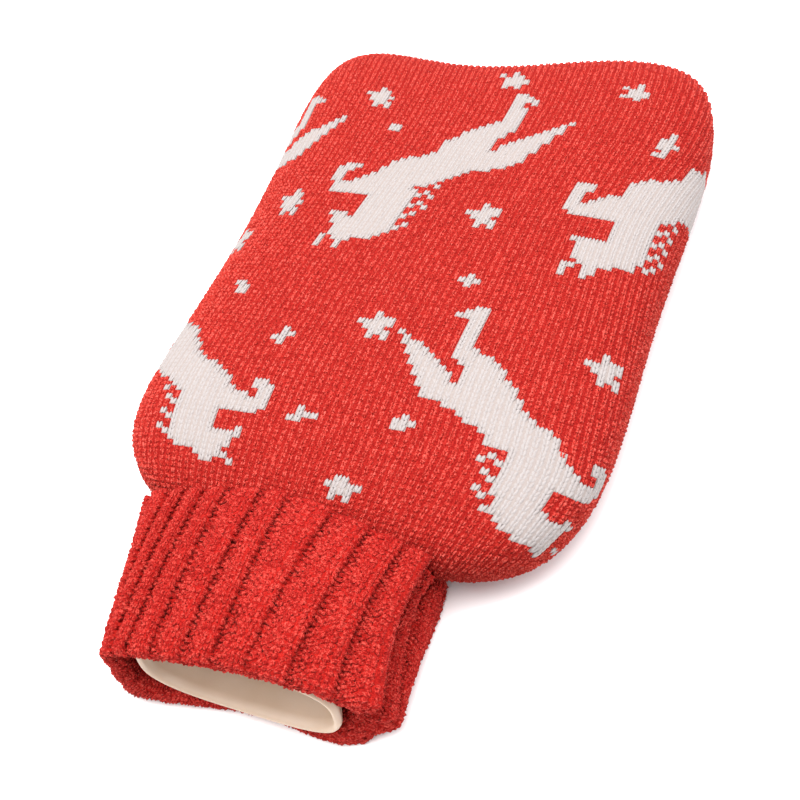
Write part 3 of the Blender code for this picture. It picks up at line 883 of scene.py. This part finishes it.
# Height at shares of a rib's pitch: a long rise to its crest, a steep fall and a narrow valley
RIB_PROFILE = ((0.0, 0.10, 0.30, 0.56, 0.66, 0.76, 1.00),
               (0.6, 0.75, 0.85, 1.00, 0.00, 0.05, 0.60))
FOLD_RADIUS = 3.6
INNER_FOLD = 1.0        # mm behind the fold's start where its inner faces part
NECK_POWER = 3.2        # squareness of the neck's inner faces
NECK_MIDDLE_Z = 22.0
NECK_ROW = 2.35         # mm between two rows
FIRST_NECK_ROW = 1.6    # mm from the free edge
INSIDE_KNIT = 34.0      # how far past the fold the stitches are raised
OUTER_LENGTH, INNER_LENGTH = 64.0, 62.0         # of the turned-down layer and of the inner layer
ROUND_POINTS = 2400     # round the neck, to measure its girth
BEARINGS = 1440         # tried round an inner face, to find the nearest
RIB_SAMPLES = 14        # grid points round one rib
NECK_STEP = 1.0         # mm between grid points along the cloth
HIDDEN_RINGS = 9        # on each of the two faces between the layers
NEAREST = 0.75          # how far an inner point takes the nearest place, and not the same bearing
# Outer face of the turned-down layer, going round it from the top middle by the right side.
# edge: its free edge on the shoulders; mid: half way; mouth: the fold round the mouth
#    place                edge x      y     z   mid x     z  mouth x      y     z
OUTER_LAYER = (
    ("top middle",          -12, -134.8, 40.0,   -8.0, 45.0,   -5.0, -204.5, 45.0),
    ("top right",            29, -140.3, 38.0,   25.0, 44.0,   22.0, -203.0, 44.0),
    ("upper pleat",          47, -143.0, 33.5,   44.5, 34.0,   49.0, -201.0, 32.5),
    ("crease under it",      41, -144.0, 28.5,   33.5, 28.5,   41.5, -199.0, 26.5),
    ("lower pleat",          49, -145.0, 23.0,   41.0, 22.0,   49.5, -199.5, 20.5),
    ("crease under that",    43, -141.5, 16.5,   44.0, 15.5,   49.5, -197.5, 14.0),
    ("bulge at the floor",   47, -139.0,  8.0,   48.0,  8.0,   48.5, -198.0,  7.0),
    ("floor right",          42, -136.0,  0.0,   42.0,  0.0,   32.5, -205.5,  0.0),
    ("floor middle",         -8, -132.0,  0.0,   -6.0,  0.0,   -3.0, -204.5,  0.0),
    ("floor left",          -55, -138.0,  0.0,  -49.0,  0.0,  -49.0, -211.0,  0.0),
    ("left side",           -70, -142.5, 20.0,  -61.5, 20.0,  -57.5, -207.5, 14.0),
    ("top left",            -58, -143.5, 37.0,  -49.0, 42.0,  -44.0, -208.5, 39.5),
)
# The neck's other faces, each a squared ring at the panels' end, half way and at the mouth
#    face                         left  right bottom  top
NECK_FACES = {
    "turned layer, inside": (
        (-68.0, 36.5,  3.4, 36.6),
        (-58.0, 30.0,  3.4, 40.8),
        (-53.4, 39.4,  3.4, 41.7),
    ),
    "inner layer, outside": (
        (-57.0, 33.0,  8.2, 33.2),
        (-55.5, 28.8,  5.6, 38.4),
        (-53.0, 38.9,  3.8, 41.3),
    ),
    "inner layer, inside": (
        (-54.0, 30.0, 11.2, 30.2),
        (-52.5, 26.4,  8.6, 35.4),
        (-50.2, 36.4,  6.8, 39.0),
    ),
}
# The ribs fan out and bunch: mm that a rib is pushed along, at the free edge and at the mouth
#             rib   edge  mouth
RIB_DRIFT = ((0,   -4.0,  -8.0),
             (1,    0.0,  -4.0),
             (2,    1.0,   3.0),
             (3,    4.0,   5.0),
             (4,    6.0,   5.0),
             (5,    4.0,   3.0),
             (8,    0.0,   0.0),
             (18,   0.0,   0.0),
             (20,   6.0,   0.0),
             (21,  10.0,  -3.0),
             (22,   5.0,  -5.0),
             (23,   1.0,  -9.0),
             (24,  -3.0, -10.0),
             (25,  -2.0,  -9.0),
             (26,  -4.0,  -8.0))
SLEEVE_END_Y = -140.5       # where the inner layer ends, at its sides
SLEEVE_END_RISE = 5.0       # and how much further in at its top and underside


def round_table(column, turn):
    """Closed smooth curve through one column of the outer layer's table, one row to a turn."""
    values = np.array([row[column] for row in OUTER_LAYER], float)
    i = np.floor(turn).astype(int)
    return between(*(values[(i + k) % len(values)] for k in (-1, 0, 1, 2)), turn - i)


def along_neck(edge, mid, mouth, v):
    """The even curve through the free edge (v 0), half way (0.5) and the mouth (1)."""
    return edge * (1 - v) * (1 - 2 * v) + mid * 4 * v * (1 - v) + mouth * v * (2 * v - 1)


def neck_turns():
    """The neck's girth, the number of its ribs, and their height at RIB_SAMPLES places a rib, as
    h^2 * (3 - 2 * h) of the profile's h. The last is a function that gives the table's turn at each
    of these places, with the ribs' drift, at v.
    """
    fine = np.linspace(0, len(OUTER_LAYER), ROUND_POINTS)
    steps = np.hypot(np.diff(round_table(4, fine)), np.diff(round_table(5, fine)))
    arc = np.concatenate([[0], np.cumsum(steps)])
    girth = arc[-1]
    ribs = round(girth / RIB_PITCH)
    place = np.arange(ribs * RIB_SAMPLES) / RIB_SAMPLES
    height = np.interp(place % 1, *RIB_PROFILE)
    rib, at_edge, at_mouth = np.array(RIB_DRIFT, float).T
    counted = (place - RIB_PROFILE[0][3]) % ribs
    at_edge, at_mouth = np.interp(counted, rib, at_edge), np.interp(counted, rib, at_mouth)

    def turn_at(v):
        along = place * girth / ribs + at_edge + (at_mouth - at_edge) * v
        return np.interp(along % girth, arc, fine)

    return girth, ribs, height * height * (3 - 2 * height), turn_at


def outer_ring(turn, ribs, v):
    """The turned-down layer's outer face at v, its ribs raised along the outward direction."""
    edge = np.stack([round_table(k, turn) for k in (1, 2, 3)], -1)
    mouth = np.stack([round_table(k, turn) for k in (6, 7, 8)], -1) + (0, FOLD_RADIUS, 0)
    mid = np.stack([round_table(4, turn), (edge[:, 1] + mouth[:, 1]) / 2, round_table(5, turn)], -1)
    ring = along_neck(edge, mid, mouth, v)
    tangent = np.roll(ring, -4, 0) - np.roll(ring, 4, 0)
    outward = np.stack([-tangent[:, 2], np.zeros(len(ring)), tangent[:, 0]], -1)
    outward /= np.linalg.norm(outward, axis=1, keepdims=True)
    ring = ring + outward * (ribs * RIB_HEIGHT)[:, None]
    ring[:, 2] = np.maximum(ring[:, 2], 0)
    return ring


def inner_ring(face, plain, v, y):
    """One of the neck's other faces at v: a squared ring, its points beside the plain ring's."""
    left, right, bottom, top = along_neck(*(np.array(row) for row in NECK_FACES[face]), v)
    middle_x, middle_z = (left + right) / 2, (bottom + top) / 2
    ring = (middle_x, middle_z, (right - left) / 2, (top - bottom) / 2, NECK_POWER)
    fine = np.linspace(-math.pi, math.pi, BEARINGS, endpoint=False)
    x, z = squared_ring(fine, *ring)
    nearest = np.unwrap(fine[np.hypot(plain[:, :1] - x, plain[:, 2:] - z).argmin(axis=1)])
    bearing = np.unwrap(np.arctan2(plain[:, 2] - middle_z, plain[:, 0] - middle_x))
    x, z = squared_ring(NEAREST * nearest + (1 - NEAREST) * bearing, *ring)
    return np.stack([x, y + 0 * x, z], -1)


def neck_rings():
    """The neck's faces as rings: the shown ones run from the free edge round the fold to the end of
    the inner layer, and the hidden ones from there back between the layers.
    """
    girth, ribs, height, turn_at = neck_turns()

    def plain(v):
        return outer_ring(turn_at(v), 0 * height, v)

    mouth = plain(1)
    fold_length = math.pi * FOLD_RADIUS
    steps = np.arange(0, OUTER_LENGTH + fold_length + INNER_LENGTH, NECK_STEP)
    inside_end = inner_ring("inner layer, inside", mouth, 1, mouth[:, 1])
    outside_end = outer_ring(turn_at(1), height, 1)
    bearing = np.arctan2(mouth[:, 2] - NECK_MIDDLE_Z, mouth[:, 0])
    sleeve_end = SLEEVE_END_Y + SLEEVE_END_RISE * np.abs(np.sin(bearing)) ** 1.5
    shown = []
    for t in steps:
        if t <= OUTER_LENGTH:
            ring = outer_ring(turn_at(t / OUTER_LENGTH), height, t / OUTER_LENGTH)
        elif t <= OUTER_LENGTH + fold_length:
            bend = math.pi * (t - OUTER_LENGTH) / fold_length
            share = (1 - math.cos(bend)) / 2
            ring = outside_end * (1 - share) + inside_end * share
            ring[:, 1] -= FOLD_RADIUS * math.sin(bend)
        else:
            v = 1 - (t - OUTER_LENGTH - fold_length) / INNER_LENGTH
            y = sleeve_end * (1 - v) + mouth[:, 1] * v
            ring = inner_ring("inner layer, inside", plain(v), v, y)
        shown.append(ring)
    hidden = []
    for v in np.linspace(0, 1, HIDDEN_RINGS):
        y = sleeve_end * (1 - v) + mouth[:, 1] * v + (INNER_FOLD if v == 1 else 0)
        hidden.append(inner_ring("inner layer, outside", plain(v), v, y))
    for v in np.linspace(1, 0, HIDDEN_RINGS):
        y = plain(v)[:, 1] + (INNER_FOLD if v == 1 else 0)
        hidden.append(inner_ring("turned layer, inside", plain(v), v, y))
    return np.stack(shown, 1), np.stack(hidden, 1), ribs, girth


def neck_backing(shown, hidden, sink):
    """The cloth behind the stitches: one closed tube, its shown side sunk under the ribs' faces."""
    sunk = shown + sink * normals_of(shown, around=True)
    rings = np.concatenate([sunk[:, ::2], hidden], 1)
    around, count = rings.shape[:2]
    i, k = np.meshgrid(np.arange(around), np.arange(count), indexing="ij")
    n, m = (i + 1) % around, (k + 1) % count
    faces = np.stack([i * count + k, i * count + m, n * count + m, n * count + k], -1)
    return make_mesh("neck_backing", placed(rings.reshape(-1, 3)), faces.reshape(-1, 4))


# Columns of one rib: its share of the pitch, and what is knitted there. Each of the two purl
# columns shows two bumps to a row.
RIB_COLUMNS = ((0.19, "plain"), (0.50, "plain"),
               (0.72, "purl"), (0.81, "purl"), (0.91, "purl"), (1.01, "purl"))
RIB_STITCH = vee(stations=3, lean=(0.50, 1.00), reach=(-1.65, 1.70), half=1.35, lift=1.25,
                 sink=-0.80)


def purl(stations, width, rise, half, lift, sink):
    """A purl stitch: the head of a loop, an arch across the column, rise * sin(pi * share) high."""
    def line(share):
        return width * (share - 0.5), rise * (np.sin(math.pi * share) - 0.5)

    return *strand(stations, line, half, lift, sink), 1


PURL_STITCH = purl(stations=3, width=2.1, rise=0.5, half=1.55, lift=1.15, sink=-0.75)

# The same brushed chenille, painted a deeper, livelier red as painted shade among the close ribs with
# its bounced red light; behind the stitches it is painted darker again as the shade in the valleys
rib_chenille_painted_shade = yarn_material("rib_chenille_yarn_painted_shade", "7e0705", "9e1914", "c4463c", 0.9, 0.28, 1.0, 1.0)
rib_valley_painted_shade = yarn_material("rib_chenille_valley_painted_shade", "870a07", "9c160f", "ad241d", 0.95, 0.1, 1.0, 1.0)


def knit_neck():
    """The neck: its backing, then its plain and its purl stitches, round the fold and a way in."""
    shown, hidden, ribs, girth = neck_rings()
    random = np.random.default_rng(13)
    face = {"points": shown, "normals": -normals_of(shown, around=True), "start": (0.0, 0.0),
            "step": (girth / len(shown), NECK_STEP), "around": True}
    mesh = neck_backing(shown, hidden, BACKING_SINK)
    # The neck's backing is painted as the shade in the valleys between the ribs
    backing = add_piece("neck_backing", mesh, rib_valley_painted_shade, "rib_yarn", "polo_neck")
    end = OUTER_LENGTH + math.pi * FOLD_RADIUS + INSIDE_KNIT
    rows = np.arange(FIRST_NECK_ROW, end, NECK_ROW)
    for kind, stitch, ragged in (("plain", RIB_STITCH, 0.34), ("purl", PURL_STITCH, 0.45)):
        places = [share for share, knitted in RIB_COLUMNS if knitted == kind]
        columns = (np.arange(ribs)[:, None] + places).ravel() * girth / ribs
        s, t = (k.ravel() for k in np.meshgrid(columns, rows, indexing="ij"))
        if kind == "purl":
            t = t + NECK_ROW / 2 * (np.arange(len(columns)) % 2).repeat(len(rows))
        mesh = lay_stitches(f"neck_{kind}_stitches", face, turned_over(stitch), s, t, random,
                            ragged)
        # The stitches take the chenille painted deeper, as painted shade among the ribs
        add_piece(f"neck_{kind}_stitches", mesh, rib_chenille_painted_shade, "rib_yarn")


knit_neck()


# The floor, the light and the camera. Not part of the object: a plain pale floor under four soft
# boxes, from the left, the right, the front left and overhead, and seen at the photograph's angle.

FLOOR_SIZE = 6.0        # m
FLOOR_DROP = 0.0002     # m under the object
ROOM_STRENGTH = 0.75    # of the white room round it
CAMERA_PLACE = (0.155666, -0.261266, 0.353746)
CAMERA_AZIMUTH, CAMERA_ELEVATION, CAMERA_ROLL = 33.602, 51.288, -17.002     # degrees
LENS, SENSOR = 47.43, 36.0      # mm


def floor_material():
    """Studio paper, uncoated: matt and nearly white, with no highlight of its own."""
    made, _, surface = new_material("studio_paper")
    surface.inputs["Base Color"].default_value = linear("fbfbfb")
    surface.inputs["Roughness"].default_value = 0.9
    surface.inputs["Specular IOR Level"].default_value = 0.1
    return made


def add_light(name, place, aim, size, power, colour):
    """A square soft box at place, in metres, that looks at aim."""
    lamp = bpy.data.lights.new(name, "AREA")
    lamp.size = size
    lamp.energy = power
    lamp.color = linear(colour)[:3]
    made = bpy.data.objects.new(name, lamp)
    bpy.context.scene.collection.objects.link(made)
    back = np.subtract(place, aim)
    back = back / np.linalg.norm(back)
    right = np.cross((0, 0, 1), back)
    right = right / np.linalg.norm(right)
    axes = np.stack([right, np.cross(back, right), back], 1)
    made.matrix_world = Matrix([[*row, at] for row, at in zip(axes, place)] + [[0, 0, 0, 1]])


floor_corners = np.array([[-1, -1, 0], [1, -1, 0], [1, 1, 0], [-1, 1, 0]]) * (FLOOR_SIZE / 2)
floor_mesh = make_mesh("studio_floor", floor_corners - (0, 0, FLOOR_DROP), [[0, 1, 2, 3]])
floor_mesh.materials.append(floor_material())
studio_floor = bpy.data.objects.new("studio_floor", floor_mesh)
bpy.context.scene.collection.objects.link(studio_floor)

# Name, place and aim in metres, size in metres, power in watts, colour
add_light("key_softbox", (-1.05, 0.10, 0.95), (0, 0, 0.02), 0.9, 6.5, "fffdfa")
add_light("side_softbox", (1.0, 0.45, 0.85), (0, 0, 0.02), 0.9, 10.0, "fbfcff")
add_light("front_softbox", (-0.8, -0.75, 1.0), (-0.02, -0.17, 0.02), 0.6, 5.0, "fffdfa")
add_light("overhead_softbox", (-0.2, 0.1, 1.9), (0, 0, 0.02), 2.0, 75.0, "ffffff")
world = bpy.data.worlds.new("studio_world")
world.use_nodes = True
world.node_tree.nodes["Background"].inputs[0].default_value = (1, 1, 1, 1)
world.node_tree.nodes["Background"].inputs[1].default_value = ROOM_STRENGTH
bpy.context.scene.world = world
bpy.context.scene.view_settings.view_transform = "Standard"

a, e, r = (math.radians(k) for k in (CAMERA_AZIMUTH, CAMERA_ELEVATION, CAMERA_ROLL))
look_back = np.array([math.sin(a) * math.cos(e), -math.cos(a) * math.cos(e), math.sin(e)])
level = np.array([math.cos(a), math.sin(a), 0.0])
upward = np.cross(look_back, level)
camera_data = bpy.data.cameras.new("photo_camera")
camera_data.lens = LENS
camera_data.sensor_width = SENSOR
camera_data.clip_start = 0.01
camera = bpy.data.objects.new("photo_camera", camera_data)
axes = np.stack([level * math.cos(r) + upward * math.sin(r),
                 upward * math.cos(r) - level * math.sin(r), look_back], 1)
camera.matrix_world = Matrix([[*row, at] for row, at in zip(axes, CAMERA_PLACE)] + [[0, 0, 0, 1]])
bpy.context.scene.collection.objects.link(camera)
bpy.context.scene.camera = camera
